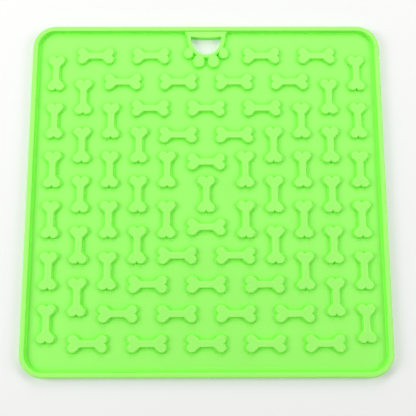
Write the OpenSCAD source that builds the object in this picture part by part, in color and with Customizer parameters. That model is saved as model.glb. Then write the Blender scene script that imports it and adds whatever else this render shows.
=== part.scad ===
// Silicone lick mat: a square tray with a raised rim, bone-shaped ridges in four
// triangular fields and a paw at the top whose heel is the hanging hole.
// Origin: centre of the flat underside. +Y points to the hanging hole, +Z is up.

/* [Mat] */
// Length of each side of the square mat
mat_side = 200; // [184:1:240]
// Outside radius of the mat's corners
corner_r = 13; // [9:0.5:20]
// Thickness of the flat sheet inside the rim
sheet_t = 1.8; // [1.4:0.1:3]
// Draft angle of the side of every moulded ridge, in degrees
draft = 12; // [6:1:18]
// Radius of the fillet where bones, pad and toes meet the sheet
foot_r = 0.25; // [0.1:0.05:0.4]

/* [Rim] */
// Height of the rim above the sheet
rim_h = 2.5; // [2.2:0.1:5]
// Width of the rim's top before its inner wall falls away
rim_top_w = 2.5; // [2:0.1:3.2]
// Radius of the rim's outer top edge
rim_top_r = 1.1; // [0.6:0.1:1.6]
// Radius of the rim's outer bottom edge
rim_foot_r = 0.6; // [0.3:0.1:1]
// Radius of the shoulder between the rim's top and its inner wall
rim_shoulder_r = 0.5; // [0.2:0.05:0.8]
// Radius of the fillet between the rim's inner wall and the sheet
rim_fillet_r = 0.4; // [0.2:0.05:0.8]

/* [Bones] */
// Length of a bone over its lobes, across the flat top
bone_len = 19.7; // [17:0.1:22]
// Width of a bone over its lobes, across the flat top
bone_w = 8.4; // [7.6:0.1:9.4]
// Diameter of a lobe's flat top
lobe_d = 4; // [3.4:0.1:4.6]
// Width of the flat top of a bone's stem
stem_w = 2.6; // [2:0.1:3.4]
// Height of a bone above the sheet
bone_h = 1.8; // [1.3:0.1:2.4]
// Radius of a bone's rounded shoulder
bone_shoulder_r = 0.7; // [0.4:0.05:0.9]

/* [Bone pattern] */
// Middle of the mat to the row with one bone
row_start = 18.6; // [16:0.1:21]
// Mat's edge to the row with five bones
row_margin = 18; // [15:0.1:22]
// Mat's edge to the end bone's middle in the row with five bones
row_end_margin = 36.3; // [34:0.1:42]
// Middle of the mat to the column with two bones
column_start = 21.9; // [20:0.1:24]
// Mat's edge to the column with six bones
column_margin = 13.8; // [12:0.1:16]
// Mat's edge to the end bone's middle in the column with six bones
column_end_margin = 28.6; // [25:0.1:33]

/* [Paw and hanging hole] */
// Width of the hanging hole
hole_w = 17.6; // [14:0.1:18.6]
// Depth of the hole's round lower part
hole_depth = 10.8; // [8:0.1:11.2]
// Mat's edge to the widest line of the hole
hole_margin = 6.5; // [6.2:0.1:8]
// Height of the hole's flatter upper part at its corners
hole_crown = 0.4; // [0.2:0.1:1.2]
// How far the hole's upper edge dips in the middle
hole_dip = 0.9; // [0:0.1:1.2]
// Radius of the hole's rounded lip
lip_r = 0.4; // [0.2:0.1:0.7]
// Height of the pad and toes above the sheet
pad_h = 1.8; // [1.3:0.1:2]
// Width of the flat band beside the hole
pad_band = 1.9; // [1.4:0.1:2.4]
// Width of the flat band below the hole
pad_band_low = 1.4; // [1:0.1:1.8]
// How far the pad widens on each side where it runs into the rim
pad_flare = 0.9; // [0.4:0.1:2]
// Radius of the rounded shoulder of the pad and toes
pad_shoulder_r = 0.4; // [0.2:0.05:0.6]
// Width of an inner toe's flat top
inner_toe_w = 5.7; // [5:0.1:6]
// Length of an inner toe's flat top
inner_toe_len = 7.3; // [6.4:0.1:7.6]
// Middle line of the mat to the middle of an inner toe
inner_toe_x = 4.2; // [4:0.1:4.4]
// Mat's edge to the middle of the inner toes
inner_toe_margin = 21.1; // [20.9:0.1:21.8]
// Outward lean of an inner toe, in degrees
inner_toe_lean = 6; // [0:1:10]
// Width of an outer toe's flat top
outer_toe_w = 4.6; // [4:0.1:4.9]
// Length of an outer toe's flat top
outer_toe_len = 6.1; // [5:0.1:6.4]
// Middle line of the mat to the middle of an outer toe
outer_toe_x = 10.1; // [9.9:0.1:10.6]
// Mat's edge to the middle of the outer toes
outer_toe_margin = 16.2; // [15.8:0.1:16.5]
// Outward lean of an outer toe, in degrees
outer_toe_lean = 10; // [4:1:16]

/* [Hidden] */
silicone = "#97f56b";  // one lime green for the whole moulding
$fn = 48;

half_side = mat_side / 2;
overrun = sheet_t;             // how far cutters run past what they cut
rim_top = sheet_t + rim_h;
pad_top = sheet_t + pad_h;

// Rows and columns are numbered from the middle of the mat outwards.
lines = 5;
row_pitch = (half_side - row_margin - row_start) / (lines - 1);
row_step = (half_side - row_end_margin) / ((lines - 1) / 2);
column_pitch = (half_side - column_margin - column_start) / (lines - 1);
column_step = (half_side - column_end_margin) / (lines / 2);

// A bone: a stem that forks at each end into two round lobes.
lobe_r = lobe_d / 2;
lobe_x = bone_len / 2 - lobe_r;
lobe_y = bone_w / 2 - lobe_r;
fork_x = lobe_x - lobe_y;                          // the forks leave the stem at 45 degrees
fork_half = min(lobe_r, stem_w / 2 * sqrt(2));     // so a fork starts flush with the stem's side
fork_len = lobe_y * sqrt(2) + stem_w / 4;          // from the lobe's middle into the stem
stem_reach = fork_x + lobe_y / 2;                  // the stem ends inside the forks

hole_y = half_side - hole_margin;                  // line of the hole's greatest width
pad_half = hole_w / 2 + pad_band;
pad_depth = hole_depth + pad_band_low;
corner_power = 4;                                  // squareness of the hole's upper corners
egg_share = 0.16;                                  // how much fatter a toe is at its low end
shoulder_steps = 2;                                // flats in a rounded shoulder
fillet_steps = 1;                                  // flats in a fillet
edge_steps = 4;                                    // flats in any other rounded edge
outline_steps = 12;                                // points in each half of a paw outline

// How far the side of a moulded ridge spreads from its flat top to its foot.
function side_spread(height, shoulder_r, fillet_r) =
    let (turn = 90 - draft, radii = shoulder_r + fillet_r)
    radii * sin(turn) + (height - radii * (1 - cos(turn))) / tan(turn);

// Side of a moulded ridge as [spread, height] from the edge of its flat top to its foot:
// a rounded shoulder, a straight wall at the draft angle and a fillet that meets the sheet.
function moulded_side(height, shoulder_r, fillet_r) =
    let (turn = 90 - draft, foot = side_spread(height, shoulder_r, fillet_r))
    concat(
        [for (i = [0:shoulder_steps])
            let (a = turn * i / shoulder_steps)
            [shoulder_r * sin(a), height - shoulder_r * (1 - cos(a))]],
        [for (i = [fillet_steps:-1:0])
            let (a = turn * i / fillet_steps)
            [foot - fillet_r * sin(a), fillet_r * (1 - cos(a))]]);

rim_wall = moulded_side(rim_h, rim_shoulder_r, rim_fillet_r);
rim_w = rim_top_w + side_spread(rim_h, rim_shoulder_r, rim_fillet_r);
bone_wall = moulded_side(bone_h, bone_shoulder_r, foot_r);
bone_spread = side_spread(bone_h, bone_shoulder_r, foot_r);
pad_wall = moulded_side(pad_h, pad_shoulder_r, foot_r);
pad_spread = side_spread(pad_h, pad_shoulder_r, foot_r);

// Half width and lowest line of the whole paw, at its foot.
paw_half = outer_toe_x + outer_toe_w / 2 + pad_spread;
paw_low = half_side - inner_toe_margin - inner_toe_len / 2 - pad_spread;

// Points of a quarter circle from angle a to angle b about c.
function arc(c, r, a, b) =
    [for (i = [0:edge_steps]) c + r * [cos(a + (b - a) * i / edge_steps),
                                       sin(a + (b - a) * i / edge_steps)]];

// The closed outline moved outwards by d along its normals (points run anticlockwise).
function spread_out(points, d) =
    let (n = len(points))
    [for (i = [0:n - 1])
        let (t = points[(i + 1) % n] - points[(i + n - 1) % n])
        points[i] + d * [t.y, -t.x] / norm(t)];

function at_height(points, z) = [for (p = points) [p.x, p.y, z]];

function mirrored(points) = [for (i = [len(points) - 1:-1:0]) [-points[i].x, points[i].y]];

// The faces between one ring of n points and the next, whose first points are a and b.
function skin(a, b, n) = [for (i = [0:n - 1]) [a + i, b + i, b + (i + 1) % n, a + (i + 1) % n]];

// A closed solid through rings of equally many points, lowest ring first.
module loft(rings) {
    n = len(rings[0]);
    top = len(rings) - 1;
    polyhedron(
        points = [for (ring = rings) each ring],
        faces = concat(
            [[for (i = [0:n - 1]) i]],
            [for (k = [0:top - 1]) each skin(k * n, (k + 1) * n, n)],
            [[for (i = [n - 1:-1:0]) top * n + i]]));
}

// A closed ring-shaped solid: the last ring of points joins the first.
module hoop(rings) {
    n = len(rings[0]);
    count = len(rings);
    polyhedron(
        points = [for (ring = rings) each ring],
        faces = [for (k = [0:count - 1]) each skin(k * n, (k + 1) % count * n, n)]);
}

// Rings of the moulded side under an outline at the pad's top, from the sheet upwards.
function side_rings(outline) =
    [for (k = [len(pad_wall) - 1:-1:0])
        at_height(spread_out(outline, pad_wall[k].x), sheet_t + pad_wall[k].y)];

// Hanging hole: half an ellipse below, a low rounded crown with a dipped edge above.
// The outline starts at its lowest point.
function hole_outline() = concat(
    [for (i = [0:outline_steps])
        let (a = -90 + 90 * i / outline_steps)
        [hole_w / 2 * cos(a), hole_y + hole_depth * sin(a)]],
    [for (i = [1:2 * outline_steps - 1])
        let (a = 90 * i / outline_steps,
             x = sign(cos(a)) * pow(abs(cos(a)), 2 / corner_power))
        [hole_w / 2 * x,
         hole_y + hole_crown * pow(sin(a), 2 / corner_power) - hole_dip * (1 - x * x)]],
    [for (i = [0:outline_steps - 1])
        let (a = 180 + 90 * i / outline_steps)
        [hole_w / 2 * cos(a), hole_y + hole_depth * sin(a)]]);

// Pad round the hole: half an ellipse below, widening by a square law up to the rim's foot,
// and a straight upper edge that lies inside the rim. It starts at its lowest point and has
// as many points as the hole's outline.
function pad_outline() =
    let (end_y = half_side - rim_top_w,
         flare_len = half_side - rim_w - hole_y,
         flare_steps = outline_steps / 2,
         right = concat(
            [for (i = [1:outline_steps])
                let (a = -90 + 90 * i / outline_steps)
                [pad_half * cos(a), hole_y + pad_depth * sin(a)]],
            [for (i = [1:flare_steps])
                let (share = i / flare_steps)
                [pad_half + pad_flare * share * share, hole_y + flare_len * share]],
            [for (i = [0:flare_steps - 2])
                [(pad_half + pad_flare) * (1 - i / (flare_steps - 1)), end_y]]))
    concat([[0, hole_y - pad_depth]], right, [[0, end_y]], mirrored(right));

// Egg-shaped toe, fatter towards the middle of the mat; side is 1 on the right, -1 on the left.
function toe_outline(side, x, margin, w, len, lean) =
    [for (i = [0:2 * outline_steps - 1])
        let (a = 180 * i / outline_steps,
             u = w / 2 * sin(a) * (1 + egg_share * cos(a)),
             v = -len / 2 * cos(a))
        [side * x + u * cos(lean * side) - v * sin(lean * side),
         half_side - margin + u * sin(lean * side) + v * cos(lean * side)]];

// The raised pad with the hole's rounded lip, before the rim's wall is cut from it.
module pad_ring() {
    lip = arc([lip_r, -lip_r], lip_r, 90, 180);
    hoop(concat(
        side_rings(pad_outline()),
        [for (p = lip) at_height(spread_out(hole_outline(), p.x), pad_top + p.y)],
        [at_height(hole_outline(), sheet_t)]));
}

// Section of the rim, x measured inwards from the mat's edge.
module rim_section() {
    polygon(concat(
        arc([rim_foot_r, rim_foot_r], rim_foot_r, 180, 270),
        [[rim_w, 0]],
        [for (i = [len(rim_wall) - 1:-1:0]) [rim_top_w, sheet_t] + rim_wall[i]],
        arc([rim_top_r, rim_top - rim_top_r], rim_top_r, 90, 180)));
}

// One straight side of the rim, along the mat's +Y edge.
module rim_side() {
    translate([-half_side + corner_r, half_side, 0]) rotate([90, 0, 90])
        linear_extrude(mat_side - 2 * corner_r) mirror([1, 0]) rim_section();
}

module rim_corner() {
    translate([half_side - corner_r, half_side - corner_r, 0])
        rotate_extrude(angle = 90) translate([corner_r, 0]) mirror([1, 0]) rim_section();
}

module base_sheet() {
    inner_side = mat_side - 2 * rim_w;
    inner_r = corner_r - rim_w;
    color(silicone) difference() {
        linear_extrude(sheet_t) union() {
            square([inner_side, inner_side - 2 * inner_r], center = true);
            square([inner_side - 2 * inner_r, inner_side], center = true);
            for (sx = [-1, 1], sy = [-1, 1])
                translate([sx, sy] * (inner_side / 2 - inner_r)) circle(inner_r);
        }
        translate([0, 0, -overrun]) linear_extrude(sheet_t + 2 * overrun)
            polygon(hole_outline());
    }
}

module rim() {
    color(silicone) for (turn = [0:3]) rotate(90 * turn) {
        rim_side();
        rim_corner();
    }
}

module hanger_pad() {
    color(silicone) difference() {
        pad_ring();
        rim_side();
    }
}

// A toe's narrow end runs into the side of the pad.
module toe(side, x, margin, w, len, lean) {
    color(silicone) difference() {
        loft(side_rings(toe_outline(side, x, margin, w, len, lean)));
        loft(side_rings(pad_outline()));
    }
}

module inner_toe(side) {
    toe(side, inner_toe_x, inner_toe_margin, inner_toe_w, inner_toe_len, inner_toe_lean);
}

module outer_toe(side) {
    toe(side, outer_toe_x, outer_toe_margin, outer_toe_w, outer_toe_len, outer_toe_lean);
}

function half_ridge(half_w) = [for (p = bone_wall) [half_w + p.x, p.y]];

// Straight ridge along +X from the origin.
module ridge(half_w, length) {
    rotate([90, 0, 90]) linear_extrude(length)
        polygon(concat(half_ridge(half_w), mirrored(half_ridge(half_w))));
}

module lobe() {
    rotate_extrude() polygon(concat([[0, 0], [0, bone_h]], half_ridge(lobe_r)));
}

// One bone ridge along X, standing on the sheet at the origin.
module bone() {
    translate([0, 0, sheet_t]) {
        translate([-stem_reach, 0, 0]) ridge(stem_w / 2, 2 * stem_reach);
        for (sx = [-1, 1], sy = [-1, 1])
            translate([sx * lobe_x, sy * lobe_y, 0]) {
                rotate(atan2(-sy, -sx)) ridge(fork_half, fork_len);
                lobe();
            }
    }
}

// A bone at [x, y] that lies along X and would meet the paw gives way to it.
function meets_paw(x, y) =
    abs(x) - bone_len / 2 - bone_spread < paw_half && y + bone_w / 2 + bone_spread > paw_low;

// Row number n holds n bones along X; side is 1 above the middle, -1 below.
module bone_row(side, n) {
    y = side * (row_start + (n - 1) * row_pitch);
    color(silicone) for (i = [0:n - 1])
        let (x = (i - (n - 1) / 2) * row_step)
            if (!meets_paw(x, y)) translate([x, y, 0]) bone();
}

// Column number n holds n + 1 bones along Y; side is 1 on the right, -1 on the left.
module bone_column(side, n) {
    color(silicone) for (i = [0:n])
        translate([side * (column_start + (n - 1) * column_pitch), (i - n / 2) * column_step, 0])
            rotate(90) bone();
}

module centre_bone() {
    color(silicone) rotate(90) bone();
}

base_sheet();
rim();
hanger_pad();
outer_toe(-1);  // outer_left_toe
inner_toe(-1);  // inner_left_toe
inner_toe(1);  // inner_right_toe
outer_toe(1);  // outer_right_toe
bone_row(1, 1);  // top_bone_row_1
bone_row(1, 2);  // top_bone_row_2
bone_row(1, 3);  // top_bone_row_3
bone_row(1, 4);  // top_bone_row_4
bone_row(1, 5);  // top_bone_row_5
bone_row(-1, 1);  // bottom_bone_row_1
bone_row(-1, 2);  // bottom_bone_row_2
bone_row(-1, 3);  // bottom_bone_row_3
bone_row(-1, 4);  // bottom_bone_row_4
bone_row(-1, 5);  // bottom_bone_row_5
bone_column(-1, 1);  // left_bone_column_1
bone_column(-1, 2);  // left_bone_column_2
bone_column(-1, 3);  // left_bone_column_3
bone_column(-1, 4);  // left_bone_column_4
bone_column(-1, 5);  // left_bone_column_5
bone_column(1, 1);  // right_bone_column_1
bone_column(1, 2);  // right_bone_column_2
bone_column(1, 3);  // right_bone_column_3
bone_column(1, 4);  // right_bone_column_4
bone_column(1, 5);  // right_bone_column_5
centre_bone();
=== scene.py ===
# Silicone lick mat seen from above: a square tray with a raised rim, bone-shaped ridges
# in four triangular fields, and a paw round the hanging hole at the far edge.
# Sizes are in millimetres and turned to metres when a mesh is made.
from math import radians
import bpy
import numpy as np
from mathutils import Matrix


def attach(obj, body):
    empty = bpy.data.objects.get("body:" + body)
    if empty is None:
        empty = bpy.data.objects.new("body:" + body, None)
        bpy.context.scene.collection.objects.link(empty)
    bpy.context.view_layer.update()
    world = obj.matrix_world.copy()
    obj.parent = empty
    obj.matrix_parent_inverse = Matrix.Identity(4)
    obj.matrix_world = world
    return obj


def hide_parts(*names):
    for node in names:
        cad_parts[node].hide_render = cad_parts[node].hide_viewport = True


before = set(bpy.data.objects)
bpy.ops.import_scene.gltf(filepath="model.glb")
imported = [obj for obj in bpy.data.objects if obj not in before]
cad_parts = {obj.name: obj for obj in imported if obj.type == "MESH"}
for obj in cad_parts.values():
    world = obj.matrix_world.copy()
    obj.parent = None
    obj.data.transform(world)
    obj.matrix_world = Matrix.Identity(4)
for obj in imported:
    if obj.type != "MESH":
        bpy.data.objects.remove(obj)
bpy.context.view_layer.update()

mm = 0.001
tiny = 1e-9                 # keeps a division from meeting zero
mat = {
    "side": 200,
    "cornerRadius": 13,
    "sheet": 1.8,           # thickness of the flat floor
    "root": 0.5,            # how far a ridge goes down into the sheet
    "topStarts": 0.7,       # share of a ridge's height at which its painted highlight begins
    "softEdge": 40,         # edges that turn by less than this are shaded smooth, degrees
}
halfSide = mat["side"] / 2
rootHeight = mat["sheet"] - mat["root"]
print("frame loaded:", len(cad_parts), "nodes")


def mouldedSide(piece, height, steps):
    # From the top edge outwards: an arc of the shoulder's radius down to the wall's slope,
    # the straight wall, draft degrees off upright, and the fillet's arc out to the foot.
    shoulder, fillet = piece["shoulder"], piece["fillet"]
    t = np.radians(90 - piece["draft"]) * np.linspace(0, 1, steps + 1)
    sine, dip = np.sin(t), 1 - np.cos(t)
    wall = (height - (shoulder + fillet) * dip[-1]) / np.tan(t[-1])
    foot = (shoulder + fillet) * sine[-1] + wall
    over = np.column_stack([shoulder * sine, height - shoulder * dip])
    under = np.column_stack([foot - fillet * sine, fillet * dip])[::-1]
    return np.concatenate([over, under])


def arc(centre, radius, fromAngle, toAngle, steps):
    # Points of a circle's arc, angles in degrees.
    a = np.radians(np.linspace(fromAngle, toAngle, steps + 1))
    return np.asarray(centre) + radius * np.column_stack([np.cos(a), np.sin(a)])


def outwardNormals(outline):
    # Unit normals of a closed anticlockwise outline, square to the chord of the neighbours.
    chord = np.roll(outline, -1, 0) - np.roll(outline, 1, 0)
    outward = np.column_stack([chord[:, 1], -chord[:, 0]])
    return outward / np.linalg.norm(chord, axis=1)[:, None]


def stacked(plan, heights):
    # Rings of plan points, one ring for each height.
    plan = np.broadcast_to(plan, (len(heights),) + plan.shape[-2:])
    z = np.broadcast_to(np.asarray(heights, float)[:, None, None], plan.shape[:2] + (1,))
    return np.concatenate([plan, z], 2)


def steepness(profile):
    # How steep a profile of (distance, height) is at its points, 0 flat to 1 upright.
    step = np.gradient(profile, axis=0)
    return np.abs(step[:, 1]) / np.maximum(np.linalg.norm(step, axis=1), tiny)


def raisedShare(profile):
    # Painted highlight share: 1 on a soft side's level top, 0 where the shoulder turns to
    # wall.
    high = profile[:, 1] > profile[:, 1].max() * mat["topStarts"]
    return np.where(high, 1 - steepness(profile), 0.0)


def skin(rings, closed):
    # Four-sided faces between one ring and the next. A closed set joins the last ring to
    # the first, and an open one gets a cap at either end.
    count, n = rings.shape[:2]
    k = np.arange(count if closed else count - 1)[:, None]
    i = np.arange(n)[None, :]
    a, b = k * n, (k + 1) % count * n
    j = (i + 1) % n
    quads = np.stack([a + i, a + j, b + j, b + i], -1).reshape(-1, 4)
    caps = [] if closed else [np.arange(n)[::-1], (count - 1) * n + np.arange(n)]
    return quads, caps


def silicone(name, node, rings, steep, raised, closed=False, places=((0, 0),)):
    # One piece of the moulding: its rings, lowest first and anticlockwise, copied to each
    # place. Each ring says how steep it is, for painted shade, and its share of painted
    # highlight.
    quads, caps = skin(rings, closed)
    points = rings.reshape(-1, 3)
    count, copies = len(points), len(places)
    shift = np.pad(np.asarray(places, float), ((0, 0), (0, 1)))
    points = (points[None] + shift[:, None]).reshape(-1, 3)
    start = count * np.arange(copies)
    corners = [(quads[None] + start[:, None, None]).reshape(-1)]
    sizes = [np.full(len(quads) * copies, 4)]
    for cap in caps:
        corners.append((cap[None] + start[:, None]).reshape(-1))
        sizes.append(np.full(copies, len(cap)))
    corners, sizes = np.concatenate(corners), np.concatenate(sizes)
    mesh = bpy.data.meshes.new(name)
    mesh.vertices.add(len(points))
    mesh.vertices.foreach_set("co", (points * mm).ravel())
    mesh.loops.add(len(corners))
    mesh.loops.foreach_set("vertex_index", corners)
    mesh.polygons.add(len(sizes))
    mesh.polygons.foreach_set("loop_start", np.concatenate([[0], np.cumsum(sizes)[:-1]]))
    # These shares carry the painted shade of steep sides and the painted highlight of tops.
    for word, values in (("wall", steep), ("raised", raised)):
        values = np.tile(np.repeat(values, rings.shape[1]), copies)
        mesh.attributes.new(word, "FLOAT", "POINT").data.foreach_set("value", values)
    mesh.update(calc_edges=True)
    mesh.validate()
    mesh.shade_smooth()
    mesh.set_sharp_from_angle(angle=radians(mat["softEdge"]))
    piece = bpy.data.objects.new(name, mesh)
    bpy.context.collection.objects.link(piece)
    mesh.materials.append(limeSilicone)
    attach(piece, "root")
    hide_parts(node)


def linear(hexColour):
    # sRGB hex to linear RGBA, by the sRGB curve.
    c = np.array([int(hexColour[i:i + 2], 16) for i in (1, 3, 5)]) / 255
    c = np.where(c <= 0.04045, c / 12.92, ((c + 0.055) / 1.055) ** 2.4)
    return (*c.tolist(), 1.0)


def addNode(tree, kind, settings=None, links=None):
    # A node with its values set and its inputs linked, by socket name or number.
    node = tree.nodes.new(kind)
    for key, value in (settings or {}).items():
        if isinstance(key, str) and key not in node.inputs:
            setattr(node, key, value)
        else:
            node.inputs[key].default_value = value
    for key, source in (links or {}).items():
        tree.links.new(source, node.inputs[key])
    return node


siliconeLook = {
    "flat": "#9cf96a",      # pigment on level faces
    "wall": "#86fd4a",      # painted shade: deeper where the moulding stands on edge
    "raised": "#a6fb72",    # painted highlight: paler on the tops of the ridges
    "creaseShade": "#7efd3a",    # painted shade: deepest beside the ridges, for light that has crossed silicone
    "creaseReach": 4.0,     # how far from a wall the painted crease shade reaches, mm
    "creaseOpen": 0.55,     # openness at which the painted shade is full, where 1 has no wall near it
    "creaseSamples": 6,
    "mottle": 30.0,         # size of the faint unevenness of the pigment, mm
    "mottleDetail": 3.0,
    "mottleNoise": (0.3, 0.7),       # the noise that gives the darkest and the lightest
    "mottleShade": (0.985, 1.015),   # darkest and lightest share of the colour
    "grain": 0.45,          # mould grain, drawn about three times as coarse as it is, mm
    "grainDetail": 2.0,
    "grainDepth": 0.02,     # mm
    "grainStrength": 0.15,
    "roughness": 0.5,
    "ior": 1.41,
}

# Compression-moulded silicone rubber, pigmented lime green. A blasted mould gives it a
# satin skin with a fine grain. Light goes a little way in, and that look is painted into
# the
# colour: painted shade, a deeper green, on its steep sides and in its creases, and a
# painted highlight, a paler green, on the tops of the ridges.
limeSilicone = bpy.data.materials.new("compressionMouldedSilicone")
limeSilicone.use_nodes = True
rubber = limeSilicone.node_tree
shader = rubber.nodes["Principled BSDF"]
where = addNode(rubber, "ShaderNodeTexCoord").outputs["Object"]
# Painted shade on steep sides and a painted highlight on tops, each by a share stored on
# the mesh.
paintedSteepShadeMask = addNode(rubber, "ShaderNodeAttribute", {"attribute_name": "wall"})
paintedHighlightMask = addNode(rubber, "ShaderNodeAttribute", {"attribute_name": "raised"})
mottle = addNode(rubber, "ShaderNodeTexNoise",
                 {"Scale": 1 / (siliconeLook["mottle"] * mm),
                  "Detail": siliconeLook["mottleDetail"]}, {"Vector": where})
shade = addNode(rubber, "ShaderNodeMapRange",
                {"From Min": siliconeLook["mottleNoise"][0],
                 "From Max": siliconeLook["mottleNoise"][1],
                 "To Min": siliconeLook["mottleShade"][0],
                 "To Max": siliconeLook["mottleShade"][1]},
                {"Value": mottle.outputs["Fac"]})
# Painted shade: an occlusion test darkens the green beside walls and in creases.
openness = addNode(rubber, "ShaderNodeAmbientOcclusion",
                   {"samples": siliconeLook["creaseSamples"],
                    "Distance": siliconeLook["creaseReach"] * mm})
paintedCreaseShade = addNode(rubber, "ShaderNodeMapRange",
                  {"From Min": 1.0, "From Max": siliconeLook["creaseOpen"],
                   "To Min": 0.0, "To Max": 1.0}, {"Value": openness.outputs["AO"]})
level = addNode(rubber, "ShaderNodeMix",
                {"data_type": "RGBA", 6: linear(siliconeLook["flat"]),
                 7: linear(siliconeLook["creaseShade"])}, {0: paintedCreaseShade.outputs["Result"]})
steepShaded = addNode(rubber, "ShaderNodeMix",
               {"data_type": "RGBA", 7: linear(siliconeLook["wall"])},
               {0: paintedSteepShadeMask.outputs["Fac"], 6: level.outputs[2]})
# Painted highlight: the tops are mixed towards a paler green.
colourWithPaintedLight = addNode(rubber, "ShaderNodeMix",
                  {"data_type": "RGBA", 7: linear(siliconeLook["raised"])},
                  {0: paintedHighlightMask.outputs["Fac"], 6: steepShaded.outputs[2]})
tinted = addNode(rubber, "ShaderNodeVectorMath", {"operation": "SCALE"},
                 {0: colourWithPaintedLight.outputs[2], "Scale": shade.outputs["Result"]})
grain = addNode(rubber, "ShaderNodeTexNoise",
                {"Scale": 1 / (siliconeLook["grain"] * mm),
                 "Detail": siliconeLook["grainDetail"]}, {"Vector": where})
bump = addNode(rubber, "ShaderNodeBump",
               {"Strength": siliconeLook["grainStrength"],
                "Distance": siliconeLook["grainDepth"] * mm},
               {"Height": grain.outputs["Fac"]})
rubber.links.new(tinted.outputs[0], shader.inputs["Base Color"])
rubber.links.new(bump.outputs["Normal"], shader.inputs["Normal"])
shader.inputs["Roughness"].default_value = siliconeLook["roughness"]
shader.inputs["IOR"].default_value = siliconeLook["ior"]
print("silicone material ready")


rim = {
    "topWidth": 2.5, "height": 4.3, "topRadius": 1.1, "footRadius": 0.6,
    "shoulder": 0.5, "fillet": 0.4, "draft": 12,
    "paleTop": 0.5,         # share of the top radius that gets the painted highlight
    "sideSteps": 48, "cornerSteps": 28, "wallSteps": 8, "edgeSteps": 8,
}
rimWall = mouldedSide(rim, rim["height"] - mat["sheet"], rim["wallSteps"])
rimWidth = rim["topWidth"] + rimWall[-1, 0]


def squarePath(radius, sideSteps, cornerSteps):
    # Round the mat anticlockwise: the corner centres' square, and outward unit normals
    # that stay fixed along a side and sweep a quarter turn at a corner.
    reach = halfSide - radius
    sweep = np.radians(np.linspace(0, 90, cornerSteps + 1))
    cornerNormal = np.column_stack([np.cos(sweep), np.sin(sweep)])
    cornerCentre = np.broadcast_to([reach, reach], cornerNormal.shape)
    along = np.linspace(reach, -reach, sideSteps + 1)[1:-1]
    sideCentre = np.column_stack([along, np.full(len(along), reach)])
    sideNormal = np.broadcast_to([0.0, 1.0], sideCentre.shape)
    centre = np.concatenate([cornerCentre, sideCentre])
    normal = np.concatenate([cornerNormal, sideNormal])
    quarterTurns = np.array([[[1, 0], [0, 1]], [[0, -1], [1, 0]],
                             [[-1, 0], [0, -1]], [[0, 1], [-1, 0]]])
    return [np.einsum("tij,pj->tpi", quarterTurns, quarter).reshape(-1, 2)
            for quarter in (centre, normal)]


def makeRim():
    # A section of (distance in from the mat's edge, height), carried round the mat.
    foot, top = rim["footRadius"], rim["topRadius"]
    wall = rimWall + [rim["topWidth"], mat["sheet"]]
    section = np.concatenate([
        [[rimWidth, 0]],
        arc([foot, foot], foot, 270, 180, rim["edgeSteps"]),
        arc([top, rim["height"] - top], top, 180, 90, rim["edgeSteps"]),
        wall])
    inward, height = section.T
    centre, normal = squarePath(mat["cornerRadius"], rim["sideSteps"], rim["cornerSteps"])
    plan = centre[None] + (mat["cornerRadius"] - inward)[:, None, None] * normal[None]
    # Painted shade on the inner wall by its steepness, and a painted highlight near the
    # top.
    steep = np.where(inward >= rim["topWidth"], steepness(section), 0.0)
    raised = np.where(height > rim["height"] - rim["paleTop"] * top, 1 - steep, 0.0)
    silicone("raisedRim", "rim", stacked(plan, height), steep, raised, closed=True)


makeRim()
print("rim made")


paw = {
    "holeWidth": 17.6, "holeDepth": 10.8,
    "holeMargin": 6.5,      # from the mat's edge to the hole's widest line
    "holeCrown": 0.4,       # how high the superellipse above that line is
    "holeDip": 0.9,         # how far the upper edge dips below it in the middle
    "lip": 0.4,             # radius of the hole's edge
    "height": 3.6,
    "band": 1.9, "bandLow": 1.4,     # width of the pad beside the hole and below it
    "flare": 0.9,           # how much wider it gets on its way to the rim
    "shoulder": 0.4, "fillet": 0.25, "draft": 12,
    "highlightStrength": 0.6,          # share of the painted highlight on the tops
    "outlineSteps": 36, "sideSteps": 6, "lipSteps": 6,
}
holeY = halfSide - paw["holeMargin"]


def holeOutline(steps):
    # Half an ellipse below. Above, a superellipse of power 4, dipping by a square law.
    half = paw["holeWidth"] / 2
    low = np.radians(-90 + 90 * np.arange(steps + 1) / steps)
    high = np.radians(90 * np.arange(1, 2 * steps) / steps)
    left = np.radians(180 + 90 * np.arange(steps) / steps)
    x = np.sign(np.cos(high)) * np.sqrt(np.abs(np.cos(high)))
    rise = paw["holeCrown"] * np.sqrt(np.sin(high)) - paw["holeDip"] * (1 - x * x)
    upper = np.column_stack([half * x, holeY + rise])
    right, left = [np.column_stack([half * np.cos(a), holeY + paw["holeDepth"] * np.sin(a)])
                   for a in (low, left)]
    return np.concatenate([right, upper, left])


def padOutline(steps):
    # Half an ellipse below, widening by a square law up to the rim's foot, and closed by
    # a straight line inside the rim.
    half = paw["holeWidth"] / 2 + paw["band"]
    depth = paw["holeDepth"] + paw["bandLow"]
    endY = halfSide - rim["topWidth"]
    a = np.radians(-90 + 90 * np.arange(1, steps + 1) / steps)
    t = np.arange(1, steps // 2 + 1) / (steps // 2)
    s = np.arange(steps // 2 - 1) / (steps // 2 - 1)
    right = np.concatenate([
        np.column_stack([half * np.cos(a), holeY + depth * np.sin(a)]),
        np.column_stack([half + paw["flare"] * t * t,
                         holeY + (halfSide - rimWidth - holeY) * t]),
        np.column_stack([(half + paw["flare"]) * (1 - s), np.full(len(s), endY)])])
    left = right[::-1] * [-1, 1]
    return np.concatenate([[[0, holeY - depth]], right, [[0, endY]], left])


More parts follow.
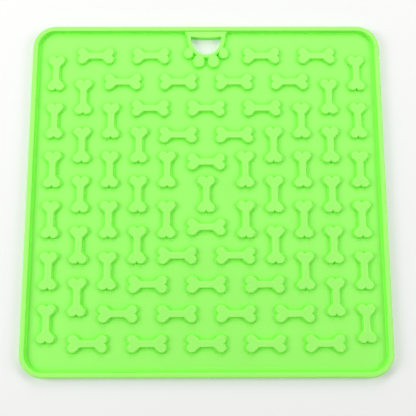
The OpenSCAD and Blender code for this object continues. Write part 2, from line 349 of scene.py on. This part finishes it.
def makePad():
    # Rings up the soft side, over the lip and down the hole's wall.
    outer, hole = padOutline(paw["outlineSteps"]), holeOutline(paw["outlineSteps"])
    out, holeOut = outwardNormals(outer), outwardNormals(hole)
    side = mouldedSide(paw, paw["height"] - mat["sheet"], paw["sideSteps"])[::-1]
    edge = paw["lip"]
    lip = arc([edge, paw["height"] - edge], edge, 90, 180, paw["lipSteps"])
    rings = np.concatenate([
        stacked(hole, [rootHeight]),
        stacked(outer + side[0, 0] * out, [rootHeight]),
        stacked(outer + side[:, 0, None, None] * out, mat["sheet"] + side[:, 1]),
        stacked(hole + lip[:, 0, None, None] * holeOut, lip[:, 1])])
    # Painted shade on the steep side; painted highlight on the level top and the lip.
    steep = np.concatenate([[0, 0], steepness(side), np.zeros(len(lip))])
    raised = np.concatenate([[0, 0], raisedShare(side), 1 - steepness(lip)])
    silicone("hangerPad", "hanger_pad", rings, steep, paw["highlightStrength"] * raised, closed=True)


toes = {                    # x and margin run from the centre line and the mat's edge
    "outer": {"width": 4.6, "length": 6.1, "x": 10.1, "margin": 16.2, "lean": 10},
    "inner": {"width": 5.7, "length": 7.3, "x": 4.2, "margin": 21.1, "lean": 6},
    "eggShare": 0.16,       # how much an egg widens towards the end away from the pad
    "crown": 0.1,           # how much higher the middle of a toe is than its edge
    "crownRings": (0.98, 0.9, 0.75, 0.55, 0.3),      # shares of the outline's size
    "highlightStrength": 0.25,         # share of the painted highlight on the tops
    "steps": 64,
}


def makeToe(which, side, name, node):
    # An egg: half width w/2 sin(a) (1 + share cos(a)), length along -cos(a), turned by
    # its lean. The crown falls from the middle by a square law.
    toe = toes[which]
    a = 2 * np.pi * np.arange(toes["steps"]) / toes["steps"]
    u = toe["width"] / 2 * np.sin(a) * (1 + toes["eggShare"] * np.cos(a))
    v = -toe["length"] / 2 * np.cos(a)
    lean = np.radians(toe["lean"] * side)
    egg = np.column_stack([u * np.cos(lean) - v * np.sin(lean),
                           u * np.sin(lean) + v * np.cos(lean)])
    out = outwardNormals(egg)
    edgeHeight = paw["height"] - mat["sheet"] - toes["crown"]
    foot = mouldedSide(paw, edgeHeight, paw["sideSteps"])[::-1]
    shrink = np.array(toes["crownRings"])
    rings = np.concatenate([
        stacked(egg + foot[0, 0] * out, [rootHeight]),
        stacked(egg + foot[:, 0, None, None] * out, mat["sheet"] + foot[:, 1]),
        stacked(egg * shrink[:, None, None], paw["height"] - toes["crown"] * shrink ** 2)])
    # Painted shade on the steep foot; painted highlight on the crowned top.
    steep = np.concatenate([[0], steepness(foot), np.zeros(len(shrink))])
    raised = np.concatenate([[0], raisedShare(foot), np.ones(len(shrink))])
    silicone(name, node, rings, steep, toes["highlightStrength"] * raised,
             places=[(side * toe["x"], halfSide - toe["margin"])])


makePad()
for which, side, name, node in (("outer", -1, "outerLeftToe", "outer_left_toe"),
                                ("inner", -1, "innerLeftToe", "inner_left_toe"),
                                ("inner", 1, "innerRightToe", "inner_right_toe"),
                                ("outer", 1, "outerRightToe", "outer_right_toe")):
    makeToe(which, side, name, node)
print("paw made")


sheet = {
    "under": 1.2,           # how far it runs under the rim
    "eyeBelow": 3.5,        # from the hole's widest line to the point that it is seen from
    "sideSteps": 400, "cornerSteps": 60,
    "keepEvery": 4,         # one in so many of those steps is a point of the sheet
    "angleDigits": 6,       # directions that agree to this many digits are one
}


def makeSheet():
    # A ring between the hole and a rounded square that runs on under the rim. Both are
    # read as distances from a point in the hole, at the directions that either needs.
    eye = np.array([0, holeY - sheet["eyeBelow"]])
    centre, normal = squarePath(mat["cornerRadius"], sheet["sideSteps"],
                                sheet["cornerSteps"])
    square = centre + (mat["cornerRadius"] - rimWidth + sheet["under"]) * normal
    angles, reaches = [], []
    for outline in (holeOutline(paw["outlineSteps"]), square):
        offset = outline - eye
        angle = np.arctan2(offset[:, 1], offset[:, 0])
        order = np.argsort(angle)
        angles.append(angle[order])
        reaches.append(np.linalg.norm(offset, axis=1)[order])
    every = np.concatenate([angles[0], angles[1][::sheet["keepEvery"]]])
    every = np.unique(np.round(every, sheet["angleDigits"]))
    toward = np.column_stack([np.cos(every), np.sin(every)])
    inner, outer = [
        eye + np.interp(every, angle, reach, period=2 * np.pi)[:, None] * toward
        for angle, reach in zip(angles, reaches)]
    rings = np.concatenate([
        stacked(inner, [0]), stacked(outer, [0]),
        stacked(outer, [mat["sheet"]]), stacked(inner, [mat["sheet"]])])
    level = np.zeros(len(rings))
    silicone("baseSheet", "base_sheet", rings, level, level, closed=True)


makeSheet()
print("sheet made")


bone = {
    "length": 19.7, "width": 8.4, "lobe": 4.0, "stem": 2.6, "height": 1.8,
    "shoulder": 0.7, "fillet": 0.25, "draft": 12,
    "fork": 45,             # how far a fork turns off the stem, degrees
    "bend": 1.8,            # radius where the stem turns into a fork
    "notch": 0.5,           # radius between the two lobes of an end
    "leastNotch": 0.06,     # what is left of it where the foot spreads
    "topInset": (0.2, 0.5, 0.8),     # rings in from the edge of the flat top
    "topPale": (1, 0.7, 0.3),        # share of the painted highlight at each of them
    "notchSteps": 3, "lobeSteps": 20, "bendSteps": 5, "sideSteps": 6,
}
pattern = {
    "lines": 5,             # rows above and below the middle, and columns on either side
    "rowStart": 18.6,       # from the middle to the first row
    "rowMargin": 18,        # from the mat's edge to the last row
    "rowEndMargin": 36.3,   # from the mat's edge to the last bone's middle in that row
    "columnStart": 21.9, "columnMargin": 13.8, "columnEndMargin": 28.6,
}


def boneRing(spread):
    # The bone's outline moved outwards by each of the spreads. A quarter of it is the
    # notch's arc, the lobe's arc, a straight fork, the bend's arc and half the stem.
    d = np.asarray(spread, float)[:, None]
    lobe, stem, bend = bone["lobe"] / 2, bone["stem"] / 2, bone["bend"]
    lobeX, lobeY = bone["length"] / 2 - lobe, bone["width"] / 2 - lobe
    fork = np.radians(bone["fork"])
    notch = np.maximum(bone["notch"] - d, bone["leastNotch"])
    notchX = lobeX + np.sqrt((lobe + d + notch) ** 2 - lobeY ** 2)
    low = -np.arctan2(lobeY, notchX - lobeX)             # where the lobe meets the notch
    a = np.pi + low * np.linspace(0, 1, bone["notchSteps"] + 1)[:-1]
    notchArc = np.stack([notchX + notch * np.cos(a), notch * np.sin(a)], -1)
    a = low + (np.pi / 2 + fork - low) * np.linspace(0, 1, bone["lobeSteps"] + 1)
    lobeArc = np.stack([lobeX + (lobe + d) * np.cos(a), lobeY + (lobe + d) * np.sin(a)], -1)
    crossX = lobeX + ((stem - lobeY) * np.cos(fork) - lobe) / np.sin(fork)
    bendX = crossX - bend * np.tan(fork / 2)
    a = fork - np.pi / 2 - fork * np.linspace(0, 1, bone["bendSteps"] + 1)[None, :]
    bendArc = np.stack([bendX + (bend - d) * np.cos(a),
                        stem + bend + (bend - d) * np.sin(a)], -1)
    forkStep = (lobeArc[:, -1:] + bendArc[:, :1]) / 2
    middle = np.stack([0 * d + bendX / 2, stem + d], -1)
    end = np.stack([0 * d, stem + d], -1)
    quarter = np.concatenate([notchArc, lobeArc, forkStep, bendArc, middle, end], 1)
    back = quarter[:, -2::-1] * [-1, 1]
    half = np.concatenate([quarter, back], 1)            # tip to tip over the top
    return np.concatenate([half, half[:, 1:-1][:, ::-1] * [1, -1]], 1)


def boneRings():
    # The profile from the root in the sheet, up the soft side and in over the top.
    side = mouldedSide(bone, bone["height"], bone["sideSteps"])[::-1]
    inset = np.array(bone["topInset"])
    spread = np.concatenate([side[:1, 0], side[:, 0], -inset])
    top = np.full(len(inset), bone["height"])
    height = np.concatenate([[-mat["root"]], side[:, 1], top])
    # Painted shade on the steep side; painted highlight on the flat top, strongest at its
    # edge.
    steep = np.concatenate([[0], steepness(side), np.zeros(len(inset))])
    raised = np.concatenate([[0], raisedShare(side), bone["topPale"]])
    return stacked(boneRing(spread), mat["sheet"] + height), steep, raised


lying, boneSteep, boneHighlight = boneRings()
upright = np.stack([-lying[..., 1], lying[..., 0], lying[..., 2]], -1)
lines = pattern["lines"]
rowPitch = (halfSide - pattern["rowMargin"] - pattern["rowStart"]) / (lines - 1)
rowStep = (halfSide - pattern["rowEndMargin"]) / ((lines - 1) / 2)
columnPitch = (halfSide - pattern["columnMargin"] - pattern["columnStart"]) / (lines - 1)
columnStep = (halfSide - pattern["columnEndMargin"]) / (lines / 2)

for n in range(1, lines + 1):
    for side, word in ((1, "top"), (-1, "bottom")):
        x = (np.arange(n) - (n - 1) / 2) * rowStep
        if side > 0 and n == lines:
            x = x[x != 0]                                # the paw takes the middle place
        y = side * (pattern["rowStart"] + (n - 1) * rowPitch)
        silicone(f"{word}BoneRow{n}", f"{word}_bone_row_{n}", lying, boneSteep, boneHighlight,
                 places=np.column_stack([x, np.full(len(x), y)]))
    for side, word in ((1, "right"), (-1, "left")):
        y = (np.arange(n + 1) - n / 2) * columnStep
        x = side * (pattern["columnStart"] + (n - 1) * columnPitch)
        silicone(f"{word}BoneColumn{n}", f"{word}_bone_column_{n}", upright, boneSteep,
                 boneHighlight, places=np.column_stack([np.full(len(y), x), y]))
silicone("centreBone", "centre_bone", upright, boneSteep, boneHighlight)
print("bones made")


# Places and sizes of the studio are in metres.
studio = {
    "table": "#f2f2f1", "tableSize": 3.0,
    "tableGap": 0.0002,     # between the table and the mat's underside
    "glow": 0.9,            # strength that the camera sees in the paper, 1 is white
    "glowShare": 0.15,      # how much of what the camera sees of the table is that glow
    "world": 0.24,
    "lamps": {"left": {"place": (-0.73, 0.0, 0.53), "size": 0.5, "power": 4.75},
              "right": {"place": (0.73, 0.0, 0.53), "size": 0.5, "power": 3.45},
              "back": {"place": (0.0, 0.50, 0.42), "size": 0.4, "power": 1.7},
              "front": {"place": (0.0, -0.87, 0.25), "size": 0.5, "power": 0.8}},
}
white = linear("#ffffff")

tableMesh = bpy.data.meshes.new("paperTable")
reach = studio["tableSize"] / 2
tableMesh.from_pydata([(-reach, -reach, 0), (reach, -reach, 0), (reach, reach, 0),
                       (-reach, reach, 0)], [], [(0, 1, 2, 3)])
table = bpy.data.objects.new("paperTable", tableMesh)
table.location.z = -studio["tableGap"]
bpy.context.collection.objects.link(table)

# Matte white paper. It holds the mat's soft shadow, and what the camera and gloss see of
# it has a little light of its own, so that it stays pale.
mattePaper = bpy.data.materials.new("mattePaper")
mattePaper.use_nodes = True
paper = mattePaper.node_tree
paper.nodes.remove(paper.nodes["Principled BSDF"])
face = addNode(paper, "ShaderNodeBsdfDiffuse", {"Color": linear(studio["table"])})
glow = addNode(paper, "ShaderNodeEmission", {"Color": white, "Strength": studio["glow"]})
path = addNode(paper, "ShaderNodeLightPath")
seen = path.outputs["Is Camera Ray"]
for ray in ("Is Glossy Ray", "Is Transmission Ray"):
    seen = addNode(paper, "ShaderNodeMath", {"operation": "MAXIMUM"},
                   {0: seen, 1: path.outputs[ray]}).outputs[0]
share = addNode(paper, "ShaderNodeMath", {"operation": "MULTIPLY", 1: studio["glowShare"]},
                {0: seen})
mixed = addNode(paper, "ShaderNodeMixShader", {},
                {0: share.outputs[0], 1: face.outputs[0], 2: glow.outputs[0]})
paper.links.new(mixed.outputs[0], paper.nodes["Material Output"].inputs["Surface"])
tableMesh.materials.append(mattePaper)

world = bpy.data.worlds.new("studio")
bpy.context.scene.world = world
world.use_nodes = True
world.node_tree.nodes["Background"].inputs["Color"].default_value = white
world.node_tree.nodes["Background"].inputs["Strength"].default_value = studio["world"]

for word, softbox in studio["lamps"].items():
    lamp = bpy.data.lights.new(word + "Softbox", "AREA")
    lamp.shape = "SQUARE"
    lamp.size = softbox["size"]
    lamp.energy = softbox["power"]
    lampObject = bpy.data.objects.new(word + "Softbox", lamp)
    lampObject.location = softbox["place"]               # it faces the mat's middle
    lampObject.rotation_euler = lampObject.location.to_track_quat("Z", "Y").to_euler()
    bpy.context.collection.objects.link(lampObject)

cameraFit = {
    "lens": 66.36, "sensor": 36,
    "place": (-0.05, -95.85, 418.7),
    "turn": (11.946, -0.108, -0.105),                    # degrees
}
lens = bpy.data.cameras.new("camera")
lens.lens = cameraFit["lens"]
lens.sensor_width = cameraFit["sensor"]
camera = bpy.data.objects.new("camera", lens)
camera.location = [v * mm for v in cameraFit["place"]]
camera.rotation_euler = [radians(v) for v in cameraFit["turn"]]
bpy.context.collection.objects.link(camera)
bpy.context.scene.camera = camera
bpy.context.scene.view_settings.view_transform = "Standard"
print("light and camera ready")
